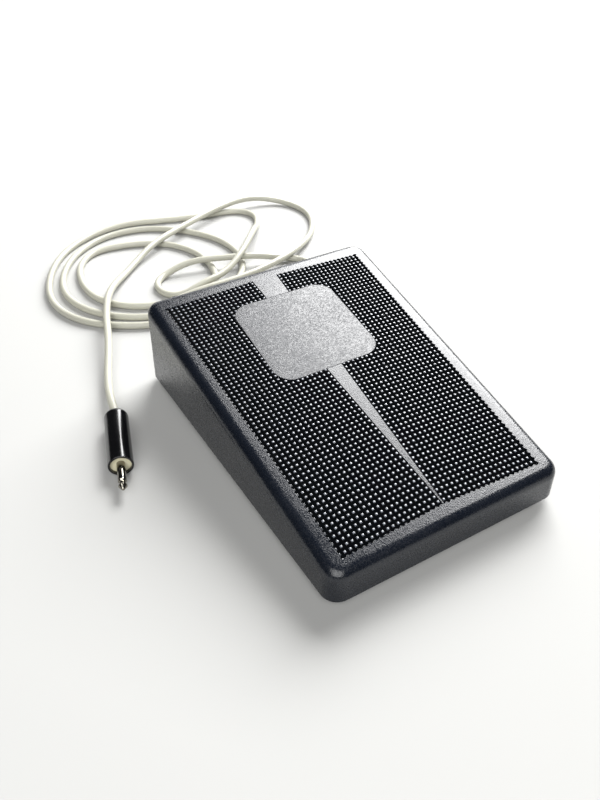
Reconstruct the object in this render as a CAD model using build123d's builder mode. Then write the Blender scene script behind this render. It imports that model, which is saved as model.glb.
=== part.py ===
from math import atan, cos, degrees, pi, radians, sin, tan
import os

from build123d import *

os.makedirs("parts", exist_ok=True)

# A foot pedal: a wedge-shaped treadle cover that rocks on two pins at its low front end, over a fixed base.
# Millimetres. +X is the right side, +Y the high back end, +Z up, Z = 0 the floor under the rubber feet.

# Treadle cover
length = 154.3  # front to back, at the bottom of the skirt
front_width = 101.2
back_width = 114.5
front_height = 13.5  # bottom of the skirt to the top plane, at the front wall
slope = 10.0  # degrees, top plane to floor
side_draft = 1.6  # degrees that each wall leans inwards
back_draft = 5.8
front_draft = 0.5
wall = 2.5
roof = 2.5
corner_radius = 6.6  # upright corners, seen from above
edge_radius = 4.4  # all round the top
skirt_gap = 4.0  # bottom of the skirt to the floor
press_angle = 1.2  # degrees of travel
rib_depth = 3.0
rib_thickness = 1.6
rib_columns = (-42.0, -14.0, 14.0, 42.0)  # x of the ribs that run front to back
rib_rows = (-40.0, 8.0, 66.0)  # y of the ribs that run across
notch_radius = 5.9
notch_top = 17.6

# Tread: two oblong fields that converge on the front, and the smooth pad between them
tread_depth = 0.7
tread_width = 43.1
tread_length = 137.8
tread_front = 7.5  # front wall to the front corners of the fields, up the slope
spike_tip = 0.3  # left between the two fields at the front
pad_width = 48.4
pad_length = 49.3
pad_centre = 106.8  # front wall to the middle of the pad, up the slope
pad_corner = 8.0

# Hinge
hinge_inset = 11.2  # front wall to the hinge axis
hinge_height = 9.5
pin_radius = 1.5
pin_head_radius = 2.6
pin_head = 1.2
knuckle_radius = 4.0
lug_x = 34.0
lug_width = 6.0
ear_width = 4.0
side_gap = 1.0  # lug to ear
running_gap = 0.05  # round a turning pin or sliding plunger
seat_gap = 0.02  # round a screw or a pin that is held
clip_thickness = 0.6
clip_radius = 2.8

# Base
foot_height = 2.0
plate = 2.5
base_gap = 1.0  # cover wall to base
rim = 2.0
rim_top = 10.0
exit_wall_width = 18.0
exit_wall_top = 14.0
stiffener = 1.6
stiffener_height = 2.5
stiffener_columns = (-14.0, 14.0)
stiffener_rows = (-40.0, -14.0, 8.0)

# Return springs, stops and bumpers: (x, y) on the right side, mirrored on the left
spring_at = (30.0, 36.0)
spring_radius = 4.0  # to the middle of the wire
spring_wire = 1.0
spring_turns = 6
spring_top = 22.0
spigot_length = 3.5
cup_wall = 1.4
cup_height = 3.0
rest_gap = 0.3  # between pieces that only just clear
stop_at = (20.0, 56.0)
stop_shank = 2.0
stop_grip = 10.0  # screw held in its post
stop_head = 4.0
stop_head_height = 2.5
stop_cup_radius = 7.5
stop_cup_bore = 5.5
stop_ceiling = 9.0  # underside of the shelf that the stop screws hook under
stop_shelf = 2.0
stop_hole = 2.7
washer_radius = 4.8
washer_thickness = 0.6
bumper_at = (44.0, 46.0)
bumper_radius = 4.5
bumper_height = 7.5

# Feet
foot_radius = 7.0
foot_front_at = (40.0, -56.0)
foot_back_at = (44.0, 63.0)
foot_sink = 0.8  # how deep a foot sits in the underside of the plate
foot_screw_radius = 1.4
foot_screw_length = 5.5
foot_head_radius = 2.8
foot_head_height = 1.0
foot_head_clear = 0.4  # floor to screw head
boss_radius = 3.4
boss_height = 3.5

# Microswitch in its 27.8 mm case, on its side against a bracket
switch_length = 27.8
switch_height = 15.9
switch_thickness = 10.3
switch_front = 16.4
switch_bottom = 10.0
switch_hole_spacing = 22.2
switch_hole_up = 3.0
switch_corner = 0.8
bracket = 3.0
bracket_over = 2.0  # bracket past the outer screw holes, and past the switch at each end
switch_screw_radius = 1.5
switch_head_radius = 2.8
switch_head_height = 1.6
nut_flats = 5.5
nut_height = 2.4
lever_pivot = (18.4, 27.5)  # y, z
lever_pin_radius = 0.6
lever_knuckle = 1.2
lever_thickness = 0.5
lever_width = 4.8
lever_reach = 27.6
lever_angle = 6.0
ear_plate = 1.0
plunger_arm = 7.0  # lever pivot to plunger
plunger_radius = 1.2
plunger_length = 3.2
plunger_room = 1.2  # left under the plunger at rest
actuator_y = 40.0
actuator_radius = 2.0
actuator_length = 6.0
actuator_nose = 1.2  # rounding of its lower end
actuator_boss = 2.6  # bottom of the screw to the boss
lock_nut_flats = 7.0
lock_nut = 1.8
terminal_thickness = 0.8
terminal_width = 4.8
terminal_length = 5.0
terminal_spacing = 9.8
terminal_hole = 0.8

# Cable and plug
cable_radius = 1.9
core_radius = 0.6
core_height = 6.9
core_spread = 2.4  # cable's middle to a core, on the way to the terminals
core_bend = 2.5
core_straight = 3.0  # straight out of the cable's cut end
core_drop_end = 7.0  # cut end to the end of the drop
core_turn_in = 6.0  # terminal to the start of the turn in
core_beside = 2.2  # terminal to the end of the turn in
core_past = 1.5  # core's end past the middle of the terminal
exit_height = 9.5
relief_length = 24.0
relief_radius = 4.4
relief_tip = 2.9
relief_neck = 3.2
relief_flange = 1.6
relief_straight = 4.5
clamp_y = 62.0
clamp_half_span = 7.0
clamp_width = 7.0
clamp_thickness = 2.4
clamp_screw_radius = 1.2
clamp_screw_length = 7.0
clamp_head_radius = 2.3
clamp_head_height = 1.4
cable_end_y = 54.0
plug_radius = 5.2
plug_length = 32.7
plug_bore = 4.35
plug_shoulder = 3.0
plug_recess = 1.3
plug_disc = 3.0
plug_at = (-89.9, 20.4)  # middle of the barrel's open end
plug_heading = -104.0  # degrees, the way the pin points
pin_outer = 1.75
pin_neck = 1.15
sleeve_length = 8.6  # outside the disc
ring_length = 0.9
tip_length = 5.3
tip_steps = (0.5, 1.1, 1.9, 2.9, 3.3)  # from the ring: land, neck, neck's end, cone, cone's widest part
nose_length = 0.2
nose_radii = (0.6, 0.25)
shoulder_radius = 2.6

# Worked out from the above
rise = tan(radians(slope))
half = length / 2
hinge_y = hinge_inset - half
plate_top = foot_height + plate
taper = atan((back_width - front_width) / 2 / length)
press = radians(press_angle)
base_inset = wall + base_gap
base_back = half - base_inset - (rim_top - skirt_gap) * tan(radians(back_draft))


def travel(y):
    """How far the cover goes down at y."""
    return press * (y - hinge_y)


def top_at(y, drop=0.0):
    """Height of the top plane above the floor at y, the plane lowered by drop square to itself."""
    return skirt_gap + front_height + (y + half) * rise - drop / cos(radians(slope))


def top_plane(drop=0.0):
    return Plane(
        origin=(0, -half, top_at(-half, drop)),
        x_dir=(1, 0, 0),
        z_dir=(0, -sin(radians(slope)), cos(radians(slope))),
    )


def corners(level, inset):
    """The four corners of the wedge's outline at a level above the floor, moved inwards by inset."""
    up = level - skirt_gap
    front = -half + up * tan(radians(front_draft)) + inset
    back = half - up * tan(radians(back_draft)) - inset
    shrink = up * tan(radians(side_draft)) + inset
    return [
        (-front_width / 2 + shrink, front),
        (front_width / 2 - shrink, front),
        (back_width / 2 - shrink, back),
        (-back_width / 2 + shrink, back),
    ]


def pair(place):
    """A place on the right side and its mirror image on the left."""
    return [(place[0], place[1]), (-place[0], place[1])]


def wedge(inset, drop, corner, edge=0.0):
    """The wedge that the cover fills, moved inwards by inset, its top lowered by drop."""
    with BuildPart() as block:
        for level in (skirt_gap, top_at(half)):
            with BuildSketch(Plane.XY.offset(level)):
                Polygon(*corners(level, inset), align=None)
        loft()
        fillet(block.edges().filter_by(lambda e: abs(e.tangent_at(0.5).Z) > 0.5), corner)
        split(bisect_by=top_plane(drop), keep=Keep.BOTTOM)
        if edge:
            fillet(block.faces().sort_by(Axis.Z)[-1].edges(), edge)
    return block.part


def posts(places, radius, bottom, top):
    """Round posts, or the drills for round holes, at each place."""
    with BuildPart() as cylinders:
        with BuildSketch(Plane.XY.offset(bottom)):
            with Locations(*places):
                Circle(radius)
        extrude(amount=top - bottom)
    return cylinders.part


def tread_field(side):
    """One tread field: a rectangle turned by the taper about its front inner corner."""
    corner = (side * spike_tip / 2, tread_front)
    out = (side * cos(taper), -sin(taper))
    back = (side * sin(taper), cos(taper))
    steps = [(0, 0), (tread_width, 0), (tread_width, tread_length), (0, tread_length)]
    return [(corner[0] + a * out[0] + b * back[0], corner[1] + a * out[1] + b * back[1]) for a, b in steps]


def save(piece, name):
    piece.part.label = name
    export_step(piece.part, f"parts/{name}.step")


# Treadle: the pieces that rock with the cover
stop_post_bottom = stop_ceiling + stop_shelf + travel(stop_at[1] + 2 * stop_shank) + rest_gap
stop_head_top = stop_ceiling - rest_gap - washer_thickness
stop_screw_top = stop_post_bottom + stop_grip
bumper_top = plate_top + bumper_height
bumper_post_bottom = bumper_top + travel(bumper_at[1] + bumper_radius) + rest_gap
lever_slope = tan(radians(lever_angle))
lever_top_at_actuator = lever_pivot[1] + lever_thickness / 2 + (actuator_y - lever_pivot[0]) * lever_slope
actuator_bottom = lever_top_at_actuator + rest_gap + actuator_radius * lever_slope / 2
actuator_boss_bottom = actuator_bottom + actuator_boss


def treadle_cover():
    tall = top_at(half)
    outer = wedge(0, 0, corner_radius, edge_radius)
    cavity = wedge(wall, roof, corner_radius - wall)
    mid_wall = wedge(wall / 2, roof / 2, corner_radius - wall / 2)
    below_ribs = wedge(wall / 2, roof + rib_depth, corner_radius - wall / 2)
    spring_seat = posts(pair(spring_at), spring_radius + spring_wire + cup_wall, spring_top, tall)
    spigot = posts(pair(spring_at), spring_radius - spring_wire, spring_top - spigot_length, tall)
    stop_posts = posts(pair(stop_at), 2 * stop_shank, stop_post_bottom, tall)
    bumper_posts = posts(pair(bumper_at), bumper_radius + rest_gap, bumper_post_bottom, tall)
    actuator_post = posts([(0, actuator_y)], 2 * actuator_radius, actuator_boss_bottom, tall)
    screw_holes = posts(pair(stop_at), stop_shank + seat_gap, stop_post_bottom, stop_screw_top)
    actuator_top = actuator_bottom + actuator_length
    actuator_hole = posts([(0, actuator_y)], actuator_radius + seat_gap, actuator_boss_bottom, actuator_top)

    with BuildPart() as ribs:
        with BuildSketch(Plane.XY.offset(skirt_gap)):
            with Locations(*[(x, 0) for x in rib_columns]):
                Rectangle(rib_thickness, length)
            with Locations(*[(0, y) for y in rib_rows]):
                Rectangle(back_width, rib_thickness)
        extrude(amount=tall)
        add(below_ribs, mode=Mode.SUBTRACT)

    with BuildPart() as works:
        for x in (-lug_x, lug_x):
            with BuildSketch(Plane.YZ.offset(x - lug_width / 2)):
                with Locations((hinge_y, hinge_height)):
                    Circle(knuckle_radius)
                    Rectangle(2 * knuckle_radius, tall, align=(Align.CENTER, Align.MIN))
            extrude(amount=lug_width)
        add([spring_seat, spigot, stop_posts, bumper_posts, actuator_post, ribs.part])
        add(mid_wall, mode=Mode.INTERSECT)

    with BuildPart() as cover:
        add(outer)
        add(cavity, mode=Mode.SUBTRACT)
        add(works.part)
        # sunk tread fields, clear of the pad
        with BuildSketch(top_plane()):
            for side in (-1, 1):
                Polygon(*tread_field(side), align=None)
            with Locations((0, pad_centre)):
                RectangleRounded(pad_width, pad_length, pad_corner, mode=Mode.SUBTRACT)
        extrude(amount=-tread_depth, mode=Mode.SUBTRACT)
        # hinge bores
        with BuildSketch(Plane.YZ.offset(-lug_x - lug_width)):
            with Locations((hinge_y, hinge_height)):
                Circle(pin_radius + running_gap)
        extrude(amount=2 * (lug_x + lug_width), mode=Mode.SUBTRACT)
        add([screw_holes, actuator_hole], mode=Mode.SUBTRACT)
        # notch in the back skirt round the strain relief
        with BuildSketch(Plane.XZ.offset(-half)):
            with Locations((0, skirt_gap)):
                notch_side = notch_top - notch_radius - skirt_gap
                Rectangle(2 * notch_radius, notch_side, align=(Align.CENTER, Align.MIN))
            with Locations((0, notch_top - notch_radius)):
                Circle(notch_radius)
        extrude(amount=2 * wall + notch_top * tan(radians(back_draft)), mode=Mode.SUBTRACT)
    return cover


def stop_screws():
    shank = posts(pair(stop_at), stop_shank, stop_head_top, stop_screw_top)
    head = posts(pair(stop_at), stop_head, stop_head_top - stop_head_height, stop_head_top)
    with BuildPart() as screws:
        add([shank, head])
        with BuildSketch(Plane.XY.offset(stop_head_top - stop_head_height)):
            with Locations(*pair(stop_at)):
                RegularPolygon(stop_shank, 6)
        extrude(amount=stop_head_height / 2, mode=Mode.SUBTRACT)
    return screws


def stop_washers():
    with BuildPart() as washers:
        with BuildSketch(Plane.XY.offset(stop_head_top)):
            with Locations(*pair(stop_at)):
                Circle(washer_radius)
                Circle(stop_shank + seat_gap, mode=Mode.SUBTRACT)
        extrude(amount=washer_thickness)
    return washers


def actuator_screw():
    with BuildPart() as screw:
        add(posts([(0, actuator_y)], actuator_radius, actuator_bottom, actuator_bottom + actuator_length))
        fillet(screw.edges().sort_by(Axis.Z)[0], actuator_nose)
    return screw


def actuator_nut():
    with BuildPart() as nut:
        with BuildSketch(Plane.XY.offset(actuator_boss_bottom - lock_nut)):
            with Locations((0, actuator_y)):
                RegularPolygon(lock_nut_flats / 2, 6, major_radius=False)
                Circle(actuator_radius + seat_gap, mode=Mode.SUBTRACT)
        extrude(amount=lock_nut)
    return nut


# Base: the pieces that stay on the floor
lug_edge = lug_x + lug_width / 2 + side_gap
lug_inner_edge = lug_x - lug_width / 2 - side_gap


def base_plate():
    ceiling = stop_ceiling + stop_shelf
    rim_shrink = (rim_top - skirt_gap) * tan(radians(side_draft))
    outline = corners(rim_top, base_inset)
    inside = corners(rim_top, base_inset + rim)
    stop_cups = posts(pair(stop_at), stop_cup_radius, foot_height, ceiling)
    stop_bores = posts(pair(stop_at), stop_cup_bore, foot_height, stop_ceiling)
    stop_holes = posts(pair(stop_at), stop_hole, foot_height, ceiling)
    foot_places = pair(foot_front_at) + pair(foot_back_at)
    bosses = posts(foot_places, boss_radius, foot_height, plate_top + boss_height)
    foot_seats = posts(foot_places, foot_radius + seat_gap, foot_height, foot_height + foot_sink)
    screw_top = foot_head_clear + foot_head_height + foot_screw_length
    foot_holes = posts(foot_places, foot_screw_radius + seat_gap, foot_height, screw_top)
    clamp_places = pair((clamp_half_span, clamp_y))
    clamp_posts = posts(clamp_places, clamp_width / 2, foot_height, exit_height + cable_radius)
    clamp_bottom = exit_height + cable_radius + clamp_thickness - clamp_screw_length
    clamp_holes = posts(clamp_places, clamp_screw_radius + seat_gap, clamp_bottom, rim_top + stop_ceiling)

    with BuildPart() as base:
        with BuildSketch(Plane.XY.offset(foot_height)):
            Polygon(*outline, align=None)
        extrude(amount=rim_top - foot_height)
        fillet(base.edges().filter_by(Axis.Z), corner_radius - wall)
        with BuildSketch(Plane.XY.offset(plate_top)):
            Polygon(*inside, align=None)
        extrude(amount=rim_top - plate_top, mode=Mode.SUBTRACT)
        # stiffening ribs on the floor of the tray
        with BuildSketch(Plane.XY.offset(plate_top)):
            with Locations(*[(x, (stiffener_rows[0] + stiffener_rows[-1]) / 2) for x in stiffener_columns]):
                Rectangle(stiffener, stiffener_rows[-1] - stiffener_rows[0])
            with Locations(*[(0, y) for y in stiffener_rows]):
                Rectangle(front_width - 4 * base_inset, stiffener)
        extrude(amount=stiffener_height)
        # hinge ears, two on each side of the cover's lugs
        for x in (-lug_edge - ear_width, -lug_inner_edge, lug_inner_edge - ear_width, lug_edge):
            with BuildSketch(Plane.YZ.offset(x)):
                with Locations((hinge_y, hinge_height)):
                    Circle(knuckle_radius)
                    Rectangle(
                        2 * knuckle_radius, hinge_height - foot_height, align=(Align.CENTER, Align.MAX)
                    )
            extrude(amount=ear_width)
        with BuildSketch(Plane.YZ.offset(-front_width / 2)):
            with Locations((hinge_y, hinge_height)):
                Circle(pin_radius + seat_gap)
        extrude(amount=front_width, mode=Mode.SUBTRACT)
        # raised wall that holds the strain relief, with its slot
        with BuildSketch(Plane.XZ.offset(-base_back)):
            with Locations((0, foot_height)):
                Rectangle(exit_wall_width, exit_wall_top - foot_height, align=(Align.CENTER, Align.MIN))
        extrude(amount=rim)
        with BuildSketch(Plane.XZ.offset(-base_back)):
            with Locations((0, exit_height)):
                Circle(relief_neck + seat_gap)
                Rectangle(2 * (relief_neck + seat_gap), exit_wall_top, align=(Align.CENTER, Align.MIN))
        extrude(amount=rim, mode=Mode.SUBTRACT)
        # bracket that the switch is screwed to
        with BuildSketch(Plane.YZ.offset(switch_thickness / 2)):
            with Locations((switch_front + switch_length / 2, plate_top)):
                Rectangle(
                    switch_length + 2 * bracket_over,
                    switch_bottom + switch_hole_up + 2 * bracket_over + switch_screw_radius - plate_top,
                    align=(Align.CENTER, Align.MIN),
                )
        extrude(amount=bracket)
        with BuildSketch(Plane.YZ.offset(switch_thickness / 2)):
            with Locations(*switch_hole_places()):
                Circle(switch_screw_radius + seat_gap)
        extrude(amount=bracket, mode=Mode.SUBTRACT)
        # cups for the springs, bumpers and stop screws, bosses for the feet, posts for the cable clamp
        with BuildSketch(Plane.XY.offset(plate_top)):
            with Locations(*pair(spring_at)):
                Circle(spring_radius + spring_wire + cup_wall)
                Circle(spring_radius + spring_wire, mode=Mode.SUBTRACT)
            with Locations(*pair(bumper_at)):
                Circle(bumper_radius + cup_wall)
                Circle(bumper_radius + seat_gap, mode=Mode.SUBTRACT)
        extrude(amount=cup_height)
        add([stop_cups, bosses, clamp_posts])
        add([stop_bores, stop_holes, foot_seats, foot_holes, clamp_holes], mode=Mode.SUBTRACT)
    return base


def foot(place):
    with BuildPart() as pad:
        add(posts([place], foot_radius, 0, foot_height + foot_sink))
        fillet(pad.edges().group_by(Axis.Z)[0], foot_sink)
        head_room = foot_head_clear + foot_head_height
        add(posts([place], foot_head_radius + rest_gap, 0, head_room), mode=Mode.SUBTRACT)
        add(posts([place], foot_screw_radius + seat_gap, 0, foot_height + foot_sink), mode=Mode.SUBTRACT)
    return pad


def foot_screws():
    places = pair(foot_front_at) + pair(foot_back_at)
    head_top = foot_head_clear + foot_head_height
    head = posts(places, foot_head_radius, foot_head_clear, head_top)
    shank = posts(places, foot_screw_radius, head_top, head_top + foot_screw_length)
    with BuildPart() as screws:
        add([head, shank])
        with BuildSketch(Plane.XY.offset(foot_head_clear)):
            with Locations(*places):
                Rectangle(foot_head_radius, foot_head_radius / 4)
                Rectangle(foot_head_radius / 4, foot_head_radius)
        extrude(amount=foot_head_height / 2, mode=Mode.SUBTRACT)
    return screws


def hinge_pin(side):
    """A pin through both ears, its head on the outer side."""
    inner = lug_inner_edge - ear_width - 3 * clip_thickness
    outer = lug_edge + ear_width
    with BuildPart() as pin:
        with BuildSketch(Plane.YZ.offset(side * inner)):
            with Locations((hinge_y, hinge_height)):
                Circle(pin_radius)
        extrude(amount=side * (outer - inner))
        with BuildSketch(Plane.YZ.offset(side * outer)):
            with Locations((hinge_y, hinge_height)):
                Circle(pin_head_radius)
        extrude(amount=side * pin_head)
        fillet(pin.edges().sort_by(Axis.X, reverse=side > 0)[0], pin_head / 3)
    return pin


def pin_clips():
    """Spring clips, open at the bottom, on the inner ends of the pins."""
    with BuildPart() as clips:
        for x in (lug_inner_edge - ear_width - clip_thickness, -lug_inner_edge + ear_width):
            with BuildSketch(Plane.YZ.offset(x)):
                with Locations((hinge_y, hinge_height)):
                    Circle(clip_radius)
                    Circle(pin_radius + seat_gap, mode=Mode.SUBTRACT)
                    Rectangle(pin_radius, clip_radius, align=(Align.CENTER, Align.MAX), mode=Mode.SUBTRACT)
            extrude(amount=clip_thickness)
    return clips


def spring(side):
    height = spring_top - plate_top - spring_wire - rest_gap
    start = Vector(side * spring_at[0], spring_at[1], plate_top + spring_wire / 2)
    with BuildPart() as coil:
        with BuildLine():
            Helix(pitch=height / spring_turns, height=height, radius=spring_radius, center=start)
        with BuildSketch(Plane(origin=start + Vector(spring_radius, 0, 0), z_dir=(0, 1, 0))):
            Circle(spring_wire / 2)
        sweep(is_frenet=True)
    return coil


def bumper(side):
    with BuildPart() as stub:
        add(posts([(side * bumper_at[0], bumper_at[1])], bumper_radius, plate_top, bumper_top))
        fillet(stub.edges().group_by(Axis.Z)[-1], bumper_radius / 3)
    return stub


# Switch
lever_under_plunger = lever_pivot[1] - lever_thickness / 2 + (plunger_arm - plunger_radius) * lever_slope
plunger_top = lever_under_plunger - rest_gap


def switch_hole_places():
    middle = switch_front + switch_length / 2
    level = switch_bottom + switch_hole_up
    return [(middle - switch_hole_spacing / 2, level), (middle + switch_hole_spacing / 2, level)]


def switch_body():
    top = switch_bottom + switch_height
    plunger_y = lever_pivot[0] + plunger_arm
    with BuildPart() as case:
        with BuildSketch(Plane.YZ.offset(-switch_thickness / 2)):
            with Locations((switch_front, switch_bottom)):
                Rectangle(switch_length, switch_height, align=(Align.MIN, Align.MIN))
        extrude(amount=switch_thickness)
        fillet(case.edges().filter_by(Axis.Z), switch_corner)
        # ears for the lever's pin
        for x in (-lever_width / 2 - rest_gap - ear_plate, lever_width / 2 + rest_gap):
            with BuildSketch(Plane.YZ.offset(x)):
                with Locations(lever_pivot):
                    Circle(lever_knuckle)
                    ear_drop = lever_pivot[1] - top + switch_corner
                    Rectangle(2 * lever_knuckle, ear_drop, align=(Align.CENTER, Align.MAX))
            extrude(amount=ear_plate)
        with BuildSketch(Plane.YZ.offset(-switch_thickness / 2)):
            with Locations(*switch_hole_places()):
                Circle(switch_screw_radius + seat_gap)
            with Locations(lever_pivot):
                Circle(lever_pin_radius + seat_gap)
        extrude(amount=switch_thickness, mode=Mode.SUBTRACT)
        add(
            posts(
                [(0, plunger_y)],
                plunger_radius + running_gap,
                plunger_top - plunger_length - plunger_room,
                top,
            ),
            mode=Mode.SUBTRACT,
        )
    return case


def switch_plunger():
    bottom = plunger_top - plunger_length
    with BuildPart() as plunger:
        add(posts([(0, lever_pivot[0] + plunger_arm)], plunger_radius, bottom, plunger_top))
        fillet(plunger.edges().sort_by(Axis.Z)[-1], plunger_radius / 2)
    return plunger


def switch_lever():
    along = Plane(
        origin=(-lever_width / 2, *lever_pivot),
        x_dir=(0, cos(radians(lever_angle)), sin(radians(lever_angle))),
        z_dir=(1, 0, 0),
    )
    with BuildPart() as lever:
        with BuildSketch(along):
            Circle(lever_knuckle)
            Rectangle(lever_reach, lever_thickness, align=(Align.MIN, Align.CENTER))
            Circle(lever_pin_radius + running_gap, mode=Mode.SUBTRACT)
        extrude(amount=lever_width)
    return lever


def lever_pin():
    reach = lever_width / 2 + rest_gap + ear_plate
    with BuildPart() as pin:
        with BuildSketch(Plane.YZ.offset(-reach)):
            with Locations(lever_pivot):
                Circle(lever_pin_radius)
        extrude(amount=2 * reach)
    return pin


def terminal_places():
    middle = switch_front + switch_length / 2
    return [middle - terminal_spacing, middle, middle + terminal_spacing]


def switch_terminals():
    with BuildPart() as tabs:
        with BuildSketch(Plane.YZ.offset(-terminal_thickness / 2)):
            with Locations(*[(y, switch_bottom) for y in terminal_places()]):
                Rectangle(terminal_width, terminal_length, align=(Align.CENTER, Align.MAX))
            with Locations(*[(y, switch_bottom - terminal_length / 3) for y in terminal_places()]):
                Circle(terminal_hole, mode=Mode.SUBTRACT)
        extrude(amount=terminal_thickness)
    return tabs


def switch_screws():
    with BuildPart() as screws:
        with BuildSketch(Plane.YZ.offset(-switch_thickness / 2)):
            with Locations(*switch_hole_places()):
                Circle(switch_screw_radius)
        extrude(amount=switch_thickness + bracket + nut_height + rest_gap)
        with BuildSketch(Plane.YZ.offset(-switch_thickness / 2)):
            with Locations(*switch_hole_places()):
                Circle(switch_head_radius)
        extrude(amount=-switch_head_height)
        with BuildSketch(Plane.YZ.offset(-switch_thickness / 2 - switch_head_height)):
            with Locations(*switch_hole_places()):
                Rectangle(switch_head_radius, switch_head_radius / 4)
                Rectangle(switch_head_radius / 4, switch_head_radius)
        extrude(amount=switch_head_height / 2, mode=Mode.SUBTRACT)
    return screws


def switch_nuts():
    with BuildPart() as nuts:
        with BuildSketch(Plane.YZ.offset(switch_thickness / 2 + bracket)):
            with Locations(*switch_hole_places()):
                RegularPolygon(nut_flats / 2, 6, major_radius=False)
                Circle(switch_screw_radius + seat_gap, mode=Mode.SUBTRACT)
        extrude(amount=nut_height)
    return nuts


# Cable


def strain_relief():
    """A tapered rubber sleeve held in the slot of the back wall, turned about the cable's own line."""
    inner = base_back - rim - relief_flange
    outer = base_back + relief_straight
    profile = [
        (cable_radius + seat_gap, inner),
        (relief_radius, inner),
        (relief_radius, base_back - rim),
        (relief_neck, base_back - rim),
        (relief_neck, base_back),
        (relief_radius, base_back),
        (relief_radius, outer),
        (relief_tip, base_back + relief_length),
        (cable_radius + seat_gap, base_back + relief_length),
    ]
    with BuildPart() as sleeve:
        with BuildSketch(Plane(origin=(0, 0, exit_height), z_dir=(0, 0, 1))):
            Polygon(*profile, align=None)
        revolve(axis=Axis((0, 0, exit_height), (0, 1, 0)))
    return sleeve


def cable_clamp():
    bottom = exit_height + cable_radius
    clamp_places = pair((clamp_half_span, clamp_y))
    with BuildPart() as bar:
        with BuildSketch(Plane.XY.offset(bottom)):
            with Locations((0, clamp_y)):
                SlotCenterToCenter(2 * clamp_half_span, clamp_width)
        extrude(amount=clamp_thickness)
        screw_holes = posts(clamp_places, clamp_screw_radius + seat_gap, bottom, bottom + clamp_thickness)
        add(screw_holes, mode=Mode.SUBTRACT)
    return bar


def clamp_screws():
    top = exit_height + cable_radius + clamp_thickness
    clamp_places = pair((clamp_half_span, clamp_y))
    shank = posts(clamp_places, clamp_screw_radius, top - clamp_screw_length, top)
    head = posts(clamp_places, clamp_head_radius, top, top + clamp_head_height)
    with BuildPart() as screws:
        add([shank, head])
        with BuildSketch(Plane.XY.offset(top + clamp_head_height)):
            with Locations(*clamp_places):
                Rectangle(clamp_head_radius, clamp_head_radius / 4)
                Rectangle(clamp_head_radius / 4, clamp_head_radius)
        extrude(amount=-clamp_head_height / 2, mode=Mode.SUBTRACT)
    return screws


def cable_inner():
    """The cable inside the pedal, from its cut end to the tip of the strain relief."""
    with BuildPart() as cable:
        with BuildSketch(Plane.XZ.offset(-cable_end_y)):
            with Locations((0, exit_height)):
                Circle(cable_radius)
        extrude(amount=-(base_back + relief_length - cable_end_y))
    return cable


def core(side, terminal_y):
    """One insulated wire from the cable's cut end to the side of its terminal."""
    beside = side * (terminal_thickness / 2 + core_radius)
    clear = side * core_spread
    points = [
        (side * cable_radius / 2, cable_end_y, exit_height),
        (side * cable_radius / 2, cable_end_y - core_straight, exit_height),
        (clear, cable_end_y - core_drop_end, core_height),
        (clear, terminal_y + core_turn_in, core_height),
        (beside, terminal_y + core_beside, core_height),
        (beside, terminal_y - core_past, core_height),
    ]
    wire, _ = round_tube(points, core_bend, core_radius)
    return wire


def round_tube(points, radii, radius):
    """A tube of straight runs joined by tangent arcs, one arc for each inner point."""
    with BuildPart() as tube:
        with BuildLine() as path:
            FilletPolyline(*points, radius=radii)
        with BuildSketch(Plane(origin=points[0], z_dir=path.wires()[0] % 0)):
            Circle(radius)
        sweep()
    return tube, path.wires()[0].length


def arc_radii(points):
    """For each inner point, the largest arc that takes arc_share of its shorter run."""
    radii = []
    for before, here, after in zip(points, points[1:], points[2:]):
        into = Vector(*here) - Vector(*before)
        out = Vector(*after) - Vector(*here)
        radii.append(arc_share * min(into.length, out.length) / tan(radians(into.get_angle(out)) / 2))
    return radii


# Plug: turned pieces on one line, x along the pin and y outwards
heading = (cos(radians(plug_heading)), sin(radians(plug_heading)))
plug_line = Plane(origin=(*plug_at, plug_radius), x_dir=(*heading, 0), z_dir=(0, 0, 1))
plug_axis = Axis((*plug_at, plug_radius), (*heading, 0))
disc_front = -plug_recess
sleeve_end = disc_front + sleeve_length
ring_end = sleeve_end + ring_length
pin_end = ring_end + tip_length


def turned(profile):
    with BuildPart() as piece:
        with BuildSketch(plug_line):
            Polygon(*profile, align=None)
        revolve(axis=plug_axis)
    return piece


def plug_barrel():
    end_wall = plug_length - plug_shoulder
    with BuildPart() as barrel:
        with BuildSketch(plug_line):
            Polygon(
                (0, plug_bore), (0, plug_radius), (-plug_length, plug_radius),
                (-plug_length, cable_radius), (-end_wall, cable_radius), (-end_wall, plug_bore), align=None,
            )
        revolve(axis=plug_axis)
        outer = barrel.edges().filter_by(GeomType.CIRCLE).group_by(SortBy.RADIUS)[-1]
        front, back = outer.sort_by_distance((*plug_at, plug_radius))
        fillet(back, shoulder_radius)
        fillet(front, (plug_radius - plug_bore) / 3)
    return barrel


def plug_insulator():
    return turned([
        (disc_front, pin_outer + seat_gap), (disc_front, plug_bore),
        (disc_front - plug_disc, plug_bore), (disc_front - plug_disc, pin_outer + seat_gap),
    ])


def plug_sleeve():
    back = disc_front - 2 * plug_disc
    return turned([
        (back, pin_neck), (back, pin_outer), (sleeve_end, pin_outer), (sleeve_end, pin_neck),
    ])


def plug_ring():
    back = disc_front - 2 * plug_disc
    return turned([
        (back, pin_neck / 2), (back, pin_neck), (sleeve_end, pin_neck), (sleeve_end, pin_outer),
        (ring_end, pin_outer), (ring_end, pin_neck / 2),
    ])


def plug_tip():
    back = disc_front - 3 * plug_disc
    land, neck, neck_end, cone, widest = [ring_end + step for step in tip_steps]
    return turned([
        (back, 0), (back, pin_neck / 2), (ring_end, pin_neck / 2), (ring_end, pin_outer),
        (land, pin_outer), (neck, pin_neck), (neck_end, pin_neck), (cone, pin_outer), (widest, pin_outer),
        (pin_end - nose_length, nose_radii[0]), (pin_end, nose_radii[1]), (pin_end, 0),
    ])


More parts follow.
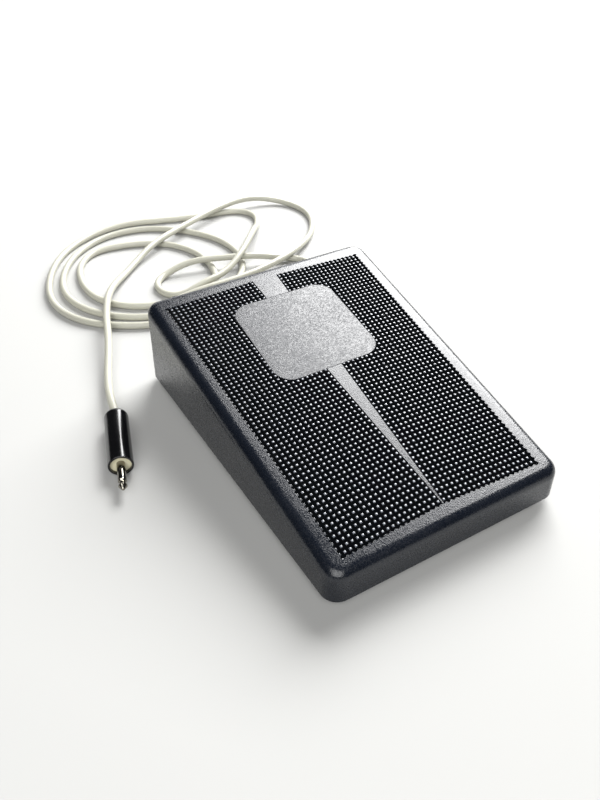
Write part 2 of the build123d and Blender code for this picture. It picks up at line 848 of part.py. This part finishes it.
# Free cable, from the tip of the strain relief to the back of the plug. It lies on the floor behind the pedal
# in loose turns, and is lifted to lie_over or lie_top where it passes over itself.
lie = cable_radius
lie_over = 6.4
lie_top = 11.4
arc_share = 0.45
cable_route = [
    (0, base_back + relief_length, exit_height), (0, 108, exit_height), (9, 118, 5.0), (25, 119, lie),
    (41, 118, lie), (54, 119, lie), (62.5, 127.5, lie), (62.5, 138.5, lie), (54.5, 146, lie),
    (36, 151, lie_over), (17, 159, lie_over), (-1, 165, lie_over), (-18, 165, lie), (-26, 157, lie),
    (-26, 145, lie), (-18, 137, lie), (-4, 137, lie_over), (13, 142, lie_over), (30, 154, lie_top),
    (46, 174, lie_top), (59, 196, lie), (65, 210, lie), (60, 222, lie), (47, 227, lie), (32, 228, lie),
    (10, 235, lie), (-14, 244, lie), (-38, 241, lie), (-62, 225, lie), (-77, 199, lie), (-84, 168, lie),
    (-75, 140, lie), (-52, 121, lie), (-28, 113, lie), (-8, 116, lie), (8, 129, lie), (23, 143, lie),
    (32, 163, lie), (30, 190, lie), (14, 215, lie), (-8, 232, lie), (-34, 233, lie), (-56, 219, lie),
    (-70, 196, lie), (-75, 171, lie), (-67, 146, lie), (-48, 128, lie), (-26, 121, lie), (-6, 126, lie),
    (6, 141, lie), (11, 160, lie), (10, 182, lie), (-2, 203, lie), (-23, 214, lie), (-45, 216, lie),
    (-58, 203, lie), (-63, 180, lie), (-60, 157, lie), (-46, 140, lie), (-28, 133, lie),
    (-9, 131, lie_over), (12, 131, lie_over), (32, 134, lie_over), (57, 143, lie_over), (84, 166, lie),
    (99, 194, lie), (92, 222, lie), (70, 231, lie_over), (44, 226, lie_over), (14, 212, lie_over),
    (-13, 198, lie_over), (-35, 180, lie), (-53, 157, lie_over), (-62, 132, lie_over),
    (-68, 107, lie_over), (-77, 82, 3.2), (-81, 63, plug_radius),
    (plug_at[0] - plug_length * heading[0], plug_at[1] - plug_length * heading[1], plug_radius),
]


def cable():
    radii = arc_radii(cable_route)
    tube, run = round_tube(cable_route, radii, cable_radius)
    print("cable", round(run, 1), "mm, arc radii", [round(r, 1) for r in radii])
    section = pi * cable_radius**2
    print("cable volume over section times length", round(tube.part.volume / (section * run), 4))
    return tube


pieces = {
    "base_plate": base_plate(),
    "foot_front_left": foot(pair(foot_front_at)[1]),
    "foot_front_right": foot(pair(foot_front_at)[0]),
    "foot_back_left": foot(pair(foot_back_at)[1]),
    "foot_back_right": foot(pair(foot_back_at)[0]),
    "foot_screws": foot_screws(),
    "hinge_pin_left": hinge_pin(-1),
    "hinge_pin_right": hinge_pin(1),
    "pin_clips": pin_clips(),
    "spring_left": spring(-1),
    "spring_right": spring(1),
    "bumper_left": bumper(-1),
    "bumper_right": bumper(1),
    "switch_body": switch_body(),
    "switch_terminals": switch_terminals(),
    "switch_screws": switch_screws(),
    "switch_nuts": switch_nuts(),
    "lever_pin": lever_pin(),
    "strain_relief": strain_relief(),
    "cable_clamp": cable_clamp(),
    "clamp_screws": clamp_screws(),
    "cable_inner": cable_inner(),
    "cable": cable(),
    "core_red": core(1, terminal_places()[2]),
    "core_white": core(-1, terminal_places()[0]),
    "plug_barrel": plug_barrel(),
    "plug_insulator": plug_insulator(),
    "plug_sleeve": plug_sleeve(),
    "plug_ring": plug_ring(),
    "plug_tip": plug_tip(),
    "treadle_cover": treadle_cover(),
    "stop_screws": stop_screws(),
    "stop_washers": stop_washers(),
    "actuator_screw": actuator_screw(),
    "actuator_nut": actuator_nut(),
    "switch_lever": switch_lever(),
    "switch_plunger": switch_plunger(),
}
for name, piece in pieces.items():
    save(piece, name)
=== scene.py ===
from math import cos, radians, sin

import bmesh
import bpy
from mathutils import Matrix, Vector


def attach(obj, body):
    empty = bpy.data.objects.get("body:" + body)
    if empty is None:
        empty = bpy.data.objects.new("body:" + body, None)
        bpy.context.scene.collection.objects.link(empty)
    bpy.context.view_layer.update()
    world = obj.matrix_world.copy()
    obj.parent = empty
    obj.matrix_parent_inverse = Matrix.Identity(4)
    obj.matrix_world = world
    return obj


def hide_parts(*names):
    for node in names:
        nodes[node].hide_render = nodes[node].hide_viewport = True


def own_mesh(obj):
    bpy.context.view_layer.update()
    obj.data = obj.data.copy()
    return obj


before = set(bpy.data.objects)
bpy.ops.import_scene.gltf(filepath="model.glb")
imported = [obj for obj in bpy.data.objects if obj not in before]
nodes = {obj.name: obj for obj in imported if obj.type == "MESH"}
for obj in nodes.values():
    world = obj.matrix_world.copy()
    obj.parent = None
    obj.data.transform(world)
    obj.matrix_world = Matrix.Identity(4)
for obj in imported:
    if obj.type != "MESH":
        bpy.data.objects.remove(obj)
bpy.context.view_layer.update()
scene = bpy.context.scene
mm = 0.001
print("frame loaded:", len(nodes), "CAD nodes")

# Camera: low at the pedal's front left corner, looking down its length to the loops of lead
camera = {
    "place": (-0.1187, -0.1850, 0.1982),
    "right": (0.87068, -0.49156, -0.01675),
    "up": (0.32472, 0.54893, 0.77022),
    "back": (-0.36941, -0.67605, 0.63756),
    "lens": 30.5,
    "shift": -0.0021,
}
cameraData = bpy.data.cameras.new("camera")
cameraData.lens = camera["lens"]
cameraData.sensor_width = 36
cameraData.shift_x = camera["shift"]
cameraData.clip_start = 0.01
cameraObject = bpy.data.objects.new("camera", cameraData)
turn = Matrix([camera["right"], camera["up"], camera["back"]]).transposed().to_4x4()
cameraObject.matrix_world = Matrix.Translation(camera["place"]) @ turn
scene.collection.objects.link(cameraObject)
scene.camera = cameraObject
print("camera placed")


# Materials
def colour(code):  # sRGB hex to the linear values that a shader takes
    parts = [int(code[i:i + 2], 16) / 255 for i in (1, 3, 5)]
    return [c / 12.92 if c <= 0.04045 else ((c + 0.055) / 1.055) ** 2.4 for c in parts] + [1]


def perMm(size):  # texture scale that makes one feature this many millimetres across
    return 1 / (size * mm)


def newMaterial(name, code, **sockets):
    material = bpy.data.materials.new(name)
    material.use_nodes = True
    shader = material.node_tree.nodes["Principled BSDF"]
    shader.inputs["Base Color"].default_value = colour(code)
    for key, value in sockets.items():
        shader.inputs[key.replace("_", " ")].default_value = value
    return material, shader


def addNode(material, kind, settings=(), links=()):
    node = material.node_tree.nodes.new(kind)
    for key, value in dict(settings).items():
        if isinstance(key, int) or key in node.inputs:
            node.inputs[key].default_value = value
        else:
            setattr(node, key, value)
    for key, socket in dict(links).items():
        material.node_tree.links.new(socket, node.inputs[key])
    return node


def join(material, socket, node, name):
    material.node_tree.links.new(socket, node.inputs[name])


def objectPlace(material):
    return addNode(material, "ShaderNodeTexCoord").outputs["Object"]


# Cover: black ABS from a spark-eroded mould, so its highlights break up into a fine stipple
cover = {
    "colour": "#0a0f18",
    "sheen": "#11161f",
    "grain": 0.42,  # mm, drawn coarser than real moulded grain so that it shows
    "grainDepth": 0.035,
    "blotch": 14,
    "wallRoughness": (0.18, 0.36),
    "padRoughness": (0.22, 0.54),
    "padGrain": 0.5,
    "padGrainDepth": 0.035,
    "slope": 10,
    "half": 77.15,
    "frontTop": 17.5,
    "pad": {"centre": 106.8, "size": (48.4, 49.3), "corner": 8},
    "seam": 0.16,  # hairline round the pad, half its width and its depth
    "seamDepth": 0.1,
    # painted highlight: the tread's tips are coloured paler so that they read as lit
    "paintedHighlight": "#6e727a",
    "paintedHighlightFrom": -0.12,  # mm from the tread plane
    "paintedHighlightTo": -0.06,
}


def slopePoint(across, up, high=0):  # a point on the tread plane, millimetres from its front edge, in metres
    a = radians(cover["slope"])
    y = -cover["half"] + up * cos(a) - high * sin(a)
    return Vector((across, y, cover["frontTop"] + up * sin(a) + high * cos(a))) * mm


def padDistance(material, place):  # how far outside the pad's rounded outline a point is, in metres
    pad = cover["pad"]
    wide, long = (size / 2 - pad["corner"] for size in pad["size"])
    centred = addNode(material, "ShaderNodeVectorMath", {"operation": "SUBTRACT", 1: slopePoint(0, pad["centre"])},
                      {0: place})
    level = addNode(material, "ShaderNodeVectorRotate", {"rotation_type": "X_AXIS", "Angle": -radians(cover["slope"])},
                    {"Vector": centred.outputs[0]})
    flat = addNode(material, "ShaderNodeVectorMath", {"operation": "MULTIPLY", 1: (1, 1, 0)}, {0: level.outputs[0]})
    folded = addNode(material, "ShaderNodeVectorMath", {"operation": "ABSOLUTE"}, {0: flat.outputs[0]})
    past = addNode(material, "ShaderNodeVectorMath", {"operation": "SUBTRACT", 1: (wide * mm, long * mm, 0)},
                   {0: folded.outputs[0]})
    outside = addNode(material, "ShaderNodeVectorMath", {"operation": "MAXIMUM", 1: (0, 0, 0)}, {0: past.outputs[0]})
    length = addNode(material, "ShaderNodeVectorMath", {"operation": "LENGTH"}, {0: outside.outputs[0]})
    return addNode(material, "ShaderNodeMath", {"operation": "SUBTRACT", 1: pad["corner"] * mm},
                   {0: length.outputs["Value"]}).outputs[0]


def grainedAbs():
    material, shader = newMaterial("grainedAbs", cover["colour"], IOR=1.54)
    place = objectPlace(material)
    distance = padDistance(material, place)
    onPad = addNode(material, "ShaderNodeMath", {"operation": "LESS_THAN", 1: 0.0}, {0: distance}).outputs[0]
    grain, coarse = [addNode(material, "ShaderNodeTexVoronoi", {"Scale": perMm(cover[size])}, {"Vector": place})
                     for size in ("grain", "padGrain")]
    blotch = addNode(material, "ShaderNodeTexNoise", {"Scale": perMm(cover["blotch"]), "Detail": 3.0},
                     {"Vector": place})
    # the pad is eroded coarser than the rim and walls
    fine = addNode(material, "ShaderNodeMath", {"operation": "MULTIPLY", 1: cover["grainDepth"] * mm},
                   {0: grain.outputs["Distance"]}).outputs[0]
    rough = addNode(material, "ShaderNodeMath", {"operation": "MULTIPLY", 1: cover["padGrainDepth"] * mm},
                    {0: coarse.outputs["Distance"]}).outputs[0]
    height = addNode(material, "ShaderNodeMix", {"data_type": "FLOAT"}, {0: onPad, 2: fine, 3: rough}).outputs[0]
    # hairline round the pad where the stem and the spike run into it
    fromSeam = addNode(material, "ShaderNodeMath", {"operation": "ABSOLUTE"}, {0: distance}).outputs[0]
    seam = addNode(material, "ShaderNodeMapRange", {"From Min": 0.0, "From Max": cover["seam"] * mm,
                                                    "To Min": -cover["seamDepth"] * mm, "To Max": 0.0},
                   {"Value": fromSeam})
    total = addNode(material, "ShaderNodeMath", {"operation": "ADD"}, {0: height, 1: seam.outputs[0]}).outputs[0]
    bump = addNode(material, "ShaderNodeBump", {"Strength": 1.0, "Distance": 1.0}, {"Height": total})
    join(material, bump.outputs[0], shader, "Normal")
    # each pit takes the light its own way
    stipple = []
    for span, pattern in ((cover["wallRoughness"], grain), (cover["padRoughness"], coarse)):
        pit = addNode(material, "ShaderNodeSeparateColor", {}, {0: pattern.outputs["Color"]})
        stipple.append(addNode(material, "ShaderNodeMapRange", {"To Min": span[0], "To Max": span[1]},
                               {"Value": pit.outputs[0]}))
    roughness = addNode(material, "ShaderNodeMix", {"data_type": "FLOAT"},
                        {0: onPad, 2: stipple[0].outputs[0], 3: stipple[1].outputs[0]}).outputs[0]
    handled = addNode(material, "ShaderNodeMapRange", {"From Min": 0.35, "From Max": 0.65, "To Min": -0.02,
                                                       "To Max": 0.02}, {"Value": blotch.outputs["Fac"]})
    together = addNode(material, "ShaderNodeMath", {"operation": "ADD"}, {0: roughness, 1: handled.outputs[0]})
    join(material, together.outputs[0], shader, "Roughness")
    tint = addNode(material, "ShaderNodeMix", {"data_type": "RGBA", 6: colour(cover["colour"]),
                                               7: colour(cover["sheen"])}, {0: blotch.outputs["Fac"]})
    join(material, tint.outputs[2], shader, "Base Color")
    return material


def paintTipHighlight(material):  # the tread's points with a painted highlight: their tops coloured paler, by height above the tread plane
    shader = material.node_tree.nodes["Principled BSDF"]
    plane = slopePoint(0, 0)
    normal = slopePoint(0, 0, 1) - plane
    fromPlane = addNode(material, "ShaderNodeVectorMath", {"operation": "SUBTRACT", 1: plane},
                        {0: objectPlace(material)})
    high = addNode(material, "ShaderNodeVectorMath", {"operation": "DOT_PRODUCT", 1: normal.normalized()},
                   {0: fromPlane.outputs[0]})
    paintedHighlight = addNode(material, "ShaderNodeMapRange", {"From Min": cover["paintedHighlightFrom"] * mm,
                                                    "From Max": cover["paintedHighlightTo"] * mm},
                   {"Value": high.outputs["Value"]})
    under = shader.inputs["Base Color"].links[0].from_socket
    # painted highlight mixed into the base colour on the tips
    highlightMix = addNode(material, "ShaderNodeMix", {"data_type": "RGBA", 7: colour(cover["paintedHighlight"])},
                   {0: paintedHighlight.outputs[0], 6: under})
    join(material, highlightMix.outputs[2], shader, "Base Color")
    return material


def plainFinish(name, code, grainSize=0.5, grainDepth=0.01, wear=0.04, **sockets):
    # moulded, turned or rubber surface: its grain in relief, and a gloss that varies from place to place
    material, shader = newMaterial(name, code, **sockets)
    place = objectPlace(material)
    grain = addNode(material, "ShaderNodeTexNoise", {"Scale": perMm(grainSize), "Detail": 2.0}, {"Vector": place})
    cloud = addNode(material, "ShaderNodeTexNoise", {"Scale": perMm(grainSize * 18), "Detail": 3.0}, {"Vector": place})
    bump = addNode(material, "ShaderNodeBump", {"Strength": 1.0, "Distance": grainDepth * mm},
                   {"Height": grain.outputs["Fac"]})
    join(material, bump.outputs[0], shader, "Normal")
    middle = shader.inputs["Roughness"].default_value
    gloss = addNode(material, "ShaderNodeMapRange", {"From Min": 0.3, "From Max": 0.7, "To Min": middle - wear,
                                                     "To Max": middle + wear}, {"Value": cloud.outputs["Fac"]})
    join(material, gloss.outputs[0], shader, "Roughness")
    base = shader.inputs["Base Color"].default_value
    dull = addNode(material, "ShaderNodeMix", {"data_type": "RGBA", 6: [c * 0.82 for c in base[:3]] + [1],
                                               7: list(base)}, {0: cloud.outputs["Fac"]})
    join(material, dull.outputs[2], shader, "Base Color")
    return material


finishes = {
    "coverAbs": grainedAbs(),
    # tread points with a painted highlight on their tips
    "treadAbs": paintTipHighlight(plainFinish("treadAbs", "#05070a", 0.3, 0.004, Roughness=0.2, IOR=1.54)),
    "baseAbs": plainFinish("baseAbs", "#15161a", 0.45, 0.03, Roughness=0.5, IOR=1.54),
    "footRubber": plainFinish("footRubber", "#1b1b1c", 0.6, 0.03, 0.08, Roughness=0.78, IOR=1.5),
    "leadPvc": plainFinish("leadPvc", "#bab9ab", 1.4, 0.012, 0.05, Roughness=0.38, IOR=1.53),
    "redPvc": plainFinish("redPvc", "#a81f1a", 1.0, 0.01, Roughness=0.4, IOR=1.53),
    "barrelAbs": plainFinish("barrelAbs", "#08080a", 1.2, 0.004, 0.05, Roughness=0.16, IOR=1.54),
    "discNylon": plainFinish("discNylon", "#ddd7b8", 0.8, 0.01, Roughness=0.4, IOR=1.53),
    "whiteNylon": plainFinish("whiteNylon", "#e6e2d4", 0.8, 0.01, Roughness=0.42, IOR=1.53),
    "nickelPlate": plainFinish("nickelPlate", "#9a968c", 0.5, 0.002, 0.06, Roughness=0.14, Metallic=1.0),
    "zincPlate": plainFinish("zincPlate", "#c2c1ba", 0.4, 0.006, 0.07, Roughness=0.32, Metallic=1.0),
    "springWire": plainFinish("springWire", "#8d8c8a", 0.3, 0.004, 0.06, Roughness=0.28, Metallic=1.0),
    "tinnedBrass": plainFinish("tinnedBrass", "#b79a5e", 0.5, 0.005, 0.06, Roughness=0.3, Metallic=1.0),
    "phenolic": plainFinish("phenolic", "#1d1412", 0.6, 0.01, Roughness=0.45, IOR=1.6),
}
print("materials made:", len(finishes))


def dress(piece, finish):
    piece.data.materials.clear()
    piece.data.materials.append(finishes[finish])


def newPiece(name, mesh, body, finish):
    data = bpy.data.meshes.new(name)
    mesh.to_mesh(data)
    mesh.free()
    piece = bpy.data.objects.new(name, data)
    scene.collection.objects.link(piece)
    dress(piece, finish)
    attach(piece, body)
    return piece


def smoothCopy(nodeName, name, body, finish, crease=32):  # a CAD node's shape, welded and shaded smooth
    mesh = bmesh.new()
    mesh.from_mesh(nodes[nodeName].data)
    bmesh.ops.remove_doubles(mesh, verts=mesh.verts, dist=1e-6)
    for face in mesh.faces:
        face.smooth = True
    for edge in mesh.edges:
        edge.smooth = edge.calc_face_angle(0) < radians(crease)
    piece = newPiece(name, mesh, body, finish)
    weighted = piece.modifiers.new("weightedNormals", "WEIGHTED_NORMAL")
    weighted.keep_sharp = True
    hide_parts(nodeName)
    return piece


# Lead: one length of round white cable, from the strain relief to the plug
lead = {
    "diameter": 3.8,
    "length": 1.672,
    "sides": 10,
    "steps": 10,
    # points of its line in millimetres, each 1.9 above the floor where it lies on it
    "route": [
        (0, 97.04, 9.5), (0, 108, 9.5), (9, 118, 5), (25, 119, 1.9), (41, 118, 1.9), (54, 119, 1.9),
        (62.5, 127.5, 1.9), (62.5, 138.5, 1.9), (54.5, 146, 1.9), (36, 151, 6.4), (17, 159, 6.4),
        (-1, 165, 6.4), (-18, 165, 1.9), (-26, 157, 1.9), (-26, 145, 1.9), (-18, 137, 1.9), (-4, 137, 6.4),
        (13, 142, 6.4), (30, 154, 11.4), (46, 174, 11.4), (59, 196, 1.9), (65, 210, 1.9), (60, 222, 1.9),
        (47, 227, 1.9), (32, 228, 1.9), (10, 235, 1.9), (-14, 244, 1.9), (-38, 241, 1.9), (-62, 225, 1.9),
        (-77, 199, 1.9), (-84, 168, 1.9), (-75, 140, 1.9), (-52, 121, 1.9), (-28, 113, 1.9), (-8, 116, 1.9),
        (8, 129, 1.9), (23, 143, 1.9), (32, 163, 1.9), (30, 190, 1.9), (14, 215, 1.9), (-8, 232, 1.9),
        (-34, 233, 1.9), (-56, 219, 1.9), (-70, 196, 1.9), (-75, 171, 1.9), (-67, 146, 1.9),
        (-48, 128, 1.9), (-26, 121, 1.9), (-6, 126, 1.9), (6, 141, 1.9), (11, 160, 1.9), (10, 182, 1.9),
        (-2, 203, 1.9), (-23, 214, 1.9), (-45, 216, 1.9), (-58, 203, 1.9), (-63, 180, 1.9), (-60, 157, 1.9),
        (-46, 140, 1.9), (-28, 133, 1.9), (-9, 131, 6.4), (12, 131, 6.4), (32, 134, 6.4), (57, 143, 6.4),
        (84, 166, 1.9), (99, 194, 1.9), (92, 222, 1.9), (70, 231, 6.4), (44, 226, 6.4), (14, 212, 6.4),
        (-13, 198, 6.4), (-35, 180, 1.9), (-53, 157, 6.4), (-62, 132, 6.4), (-68, 107, 6.4), (-77, 82, 3.2),
        (-81, 63, 5.2), (-81.99, 52.13, 5.2),
    ],
}
leadCurve = bpy.data.curves.new("lead", "CURVE")
leadCurve.dimensions = "3D"
line = leadCurve.splines.new("NURBS")
line.points.add(len(lead["route"]) - 1)
for point, place in zip(line.points, lead["route"]):
    point.co = (*(Vector(place) * mm), 1)
line.order_u = 3
line.use_endpoint_u = True
line.resolution_u = lead["steps"]
leadCurve.bevel_depth = lead["diameter"] / 2 * mm
leadCurve.bevel_resolution = lead["sides"] // 2
leadCurve.use_fill_caps = True
leadPiece = bpy.data.objects.new("lead", leadCurve)
scene.collection.objects.link(leadPiece)
dress(leadPiece, "leadPvc")
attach(leadPiece, "base")
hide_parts("cable")
print("lead laid")

# Treadle cover
coverPiece = smoothCopy("treadle_cover", "coverShell", "treadle", "coverAbs")

# Tread: rows of small flat-topped points in the two sunk fields
tread = {
    "pitch": 2.2,
    "columns": 21,
    "rows": 64,
    "lastColumn": 42.8,  # outer column, mostly under the rim, out from a field's inner front corner
    "firstRow": -0.24,  # front row, mostly under the rim
    "wide": 43.1,
    "long": 137.8,
    "front": 7.5,
    "halfSpike": 0.15,
    "taper": 2.468,
    "depth": 0.7,
    "tip": 0.4,
    "dome": 0.08,
    "sunk": 0.03,  # tips below the rim
    "lift": 0.01,  # under the points, above the recess floor
    "base": 0.2,  # thickness of the sheet that carries them
    "padMargin": 1.7,  # points this near the pad's edge stay
    "cutAt": -0.1,  # points are cut off here, inside the spike
    "tooth": 0.75,
}


def fieldMatrix():  # from a field's own millimetres to the frame's metres, right side
    t = radians(tread["taper"])
    a = radians(cover["slope"])
    corner = slopePoint(tread["halfSpike"], tread["front"])
    out = Vector((cos(t), -sin(t) * cos(a), -sin(t) * sin(a))) * mm
    back = Vector((sin(t), cos(t) * cos(a), cos(t) * sin(a))) * mm
    normal = Vector((0, -sin(a), cos(a))) * mm
    matrix = Matrix([out, back, normal]).transposed().to_4x4()
    matrix.translation = corner
    return matrix


def insidePad(across, up, margin):
    pad = cover["pad"]
    wide, long = (size / 2 - pad["corner"] for size in pad["size"])
    past = Vector((max(abs(across) - wide, 0), max(abs(up - pad["centre"]) - long, 0)))
    return past.length < pad["corner"] - margin


def fieldPlace(point):  # field millimetres to (across, up the slope)
    t = radians(tread["taper"])
    return (tread["halfSpike"] + point.x * cos(t) + point.y * sin(t),
            tread["front"] - point.x * sin(t) + point.y * cos(t))


def treadField(side):
    mesh = bmesh.new()
    wide, long = (tread[key] * tread["pitch"] for key in ("columns", "rows"))
    right = tread["lastColumn"] + tread["pitch"] / 2
    front = tread["firstRow"] - tread["pitch"] / 2
    floor = -tread["depth"] + tread["lift"]
    middle = Matrix.Translation((right - wide / 2, front + long / 2, floor - tread["base"]))
    grid = middle @ Matrix.Diagonal((wide / 2, long / 2, 1, 1))
    bmesh.ops.create_grid(mesh, x_segments=tread["columns"], y_segments=tread["rows"], size=1, matrix=grid)
    hidden = [f for f in mesh.faces if insidePad(*fieldPlace(f.calc_center_median()), tread["padMargin"])]
    bmesh.ops.delete(mesh, geom=hidden, context="FACES")
    raised = bmesh.ops.extrude_face_region(mesh, geom=mesh.faces[:])["geom"]
    bmesh.ops.translate(mesh, verts=[v for v in raised if isinstance(v, bmesh.types.BMVert)],
                        vec=(0, 0, tread["base"]))
    tops = [f for f in raised if isinstance(f, bmesh.types.BMFace)]
    bmesh.ops.inset_individual(mesh, faces=tops, thickness=(tread["pitch"] - tread["tip"]) / 2)
    tipCorners = {v for f in tops for v in f.verts}
    bmesh.ops.translate(mesh, verts=list(tipCorners), vec=(0, 0, -floor - tread["sunk"] - tread["dome"]))
    domed = bmesh.ops.poke(mesh, faces=tops)
    bmesh.ops.translate(mesh, verts=domed["verts"], vec=(0, 0, tread["dome"]))
    for face in domed["faces"]:
        face.smooth = True
    # cut off what would reach through the spike's thin end
    cut = bmesh.ops.bisect_plane(mesh, geom=mesh.verts[:] + mesh.edges[:] + mesh.faces[:],
                                 plane_co=(tread["cutAt"], 0, 0), plane_no=(-1, 0, 0), clear_outer=True)["geom_cut"]
    bmesh.ops.holes_fill(mesh, edges=[e for e in cut if isinstance(e, bmesh.types.BMEdge)])
    finishField(mesh, side)
    return newPiece("treadField" + ("Left" if side < 0 else "Right"), mesh, "treadle", "treadAbs")


def finishField(mesh, side):
    bmesh.ops.transform(mesh, matrix=fieldMatrix(), verts=mesh.verts)
    if side < 0:
        bmesh.ops.scale(mesh, vec=(-1, 1, 1), verts=mesh.verts)
    bmesh.ops.recalc_face_normals(mesh, faces=mesh.faces)


def toothedEdge(side):  # the rim's saw-toothed edge, where each groove runs out into it
    mesh = bmesh.new()
    wide, long = tread["wide"], tread["long"]
    column = tread["lastColumn"] - tread["pitch"] * (tread["columns"] - 2)
    row = tread["firstRow"] + tread["pitch"]
    sides = [
        (Vector((wide, row)), Vector((0, 1)), Vector((-1, 0)), tread["rows"] - 2),
        (Vector((column, 0)), Vector((1, 0)), Vector((0, 1)), tread["columns"] - 2),
        (Vector((column, long)), Vector((1, 0)), Vector((0, -1)), tread["columns"] - 2),
    ]
    for start, along, inward, count in sides:
        for i in range(count):
            middle = start + along * tread["pitch"] * i
            if insidePad(*fieldPlace(middle.to_3d()), 0):
                continue
            tooth = bmesh.ops.create_circle(mesh, cap_ends=True, segments=3, radius=1)
            corners = [middle - along * tread["pitch"] / 2, middle + along * tread["pitch"] / 2,
                       middle + inward * tread["tooth"]]
            for vert, corner in zip(tooth["verts"], corners):
                vert.co = (*corner, -tread["sunk"] / 2)
    raised = bmesh.ops.extrude_face_region(mesh, geom=mesh.faces[:])["geom"]
    bmesh.ops.translate(mesh, verts=[v for v in raised if isinstance(v, bmesh.types.BMVert)],
                        vec=(0, 0, -tread["depth"]))
    finishField(mesh, side)
    return newPiece("toothedEdge" + ("Left" if side < 0 else "Right"), mesh, "treadle", "coverAbs")


for side in (-1, 1):
    treadField(side)
    toothedEdge(side)
print("tread cut")

# Small moulded pieces and hardware
for nodeName, name, finish, slot in (
    ("plug_barrel", "plugBarrel", "barrelAbs", "plug_black"),
    ("plug_insulator", "plugDisc", "discNylon", "plug_cream"),
    ("plug_sleeve", "plugSleeve", "nickelPlate", "plug_nickel"),
    ("plug_ring", "plugRing", "barrelAbs", "plug_black"),
    ("plug_tip", "plugTip", "nickelPlate", "plug_nickel"),
):
    plugPiece = smoothCopy(nodeName, name, "base", finish)

# Return springs: each stands on the base, welded and shaded smooth on a mesh of its own
for side, nodeName, name in ((-1, "spring_left", "springLeft"), (1, "spring_right", "springRight")):
    coil = smoothCopy(nodeName, name, "base", "springWire", crease=60)
    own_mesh(coil)

nodeFinish = {
    "base_plate": "baseAbs", "switch_body": "phenolic", "switch_lever": "zincPlate", "switch_plunger": "whiteNylon",
    "actuator_screw": "whiteNylon", "cable_clamp": "whiteNylon", "cable_inner": "leadPvc", "core_white": "leadPvc",
    "core_red": "redPvc", "switch_terminals": "tinnedBrass",
    "strain_relief": "footRubber", "stop_washers": "footRubber", "bumper_left": "footRubber",
    "bumper_right": "footRubber", "foot_front_left": "footRubber", "foot_front_right": "footRubber",
    "foot_back_left": "footRubber", "foot_back_right": "footRubber",
}
for nodeName, node in nodes.items():
    dress(node, nodeFinish.get(nodeName, "zincPlate"))
print("CAD nodes finished")

# Studio: a pale seamless floor, the key soft box behind on the right, a fill at the front left, a lit backdrop
studio = {
    "floorSize": 6,
    "floorColour": "#b4b4b2",
    "world": ("#ffffff", 0.04),
    "aim": (0, 0.03, 0),
    "lights": {
        "fill": {"place": (-0.75, -1.25, 1.35), "size": (1.8, 1.8), "power": 44},
        "key": {"place": (0.97, 0.69, 0.93), "size": (1.05, 1.05), "power": 62},
        "backdrop": {"place": (0.7, 1.4, 0.5), "size": (1.6, 0.5), "power": 6},
    },
}
floorMesh = bmesh.new()
bmesh.ops.create_grid(floorMesh, x_segments=1, y_segments=1, size=studio["floorSize"] / 2)
floorData = bpy.data.meshes.new("floor")
floorMesh.to_mesh(floorData)
floorMesh.free()
floorPiece = bpy.data.objects.new("floor", floorData)
scene.collection.objects.link(floorPiece)
floorMaterial, floorShader = newMaterial("paperSweep", studio["floorColour"], Roughness=0.9)
floorPiece.data.materials.append(floorMaterial)
world = bpy.data.worlds.new("studio")
world.use_nodes = True
world.node_tree.nodes["Background"].inputs["Color"].default_value = colour(studio["world"][0])
world.node_tree.nodes["Background"].inputs["Strength"].default_value = studio["world"][1]
scene.world = world
for name, light in studio["lights"].items():
    lamp = bpy.data.lights.new(name, "AREA")
    lamp.shape = "RECTANGLE"
    lamp.size, lamp.size_y = light["size"]
    lamp.energy = light["power"]
    lampObject = bpy.data.objects.new(name, lamp)
    lampObject.location = light["place"]
    aim = Vector(studio["aim"]) - Vector(light["place"])
    lampObject.rotation_mode = "QUATERNION"
    lampObject.rotation_quaternion = aim.to_track_quat("-Z", "Y")
    scene.collection.objects.link(lampObject)
scene.view_settings.view_transform = "Standard"
print("studio lit")
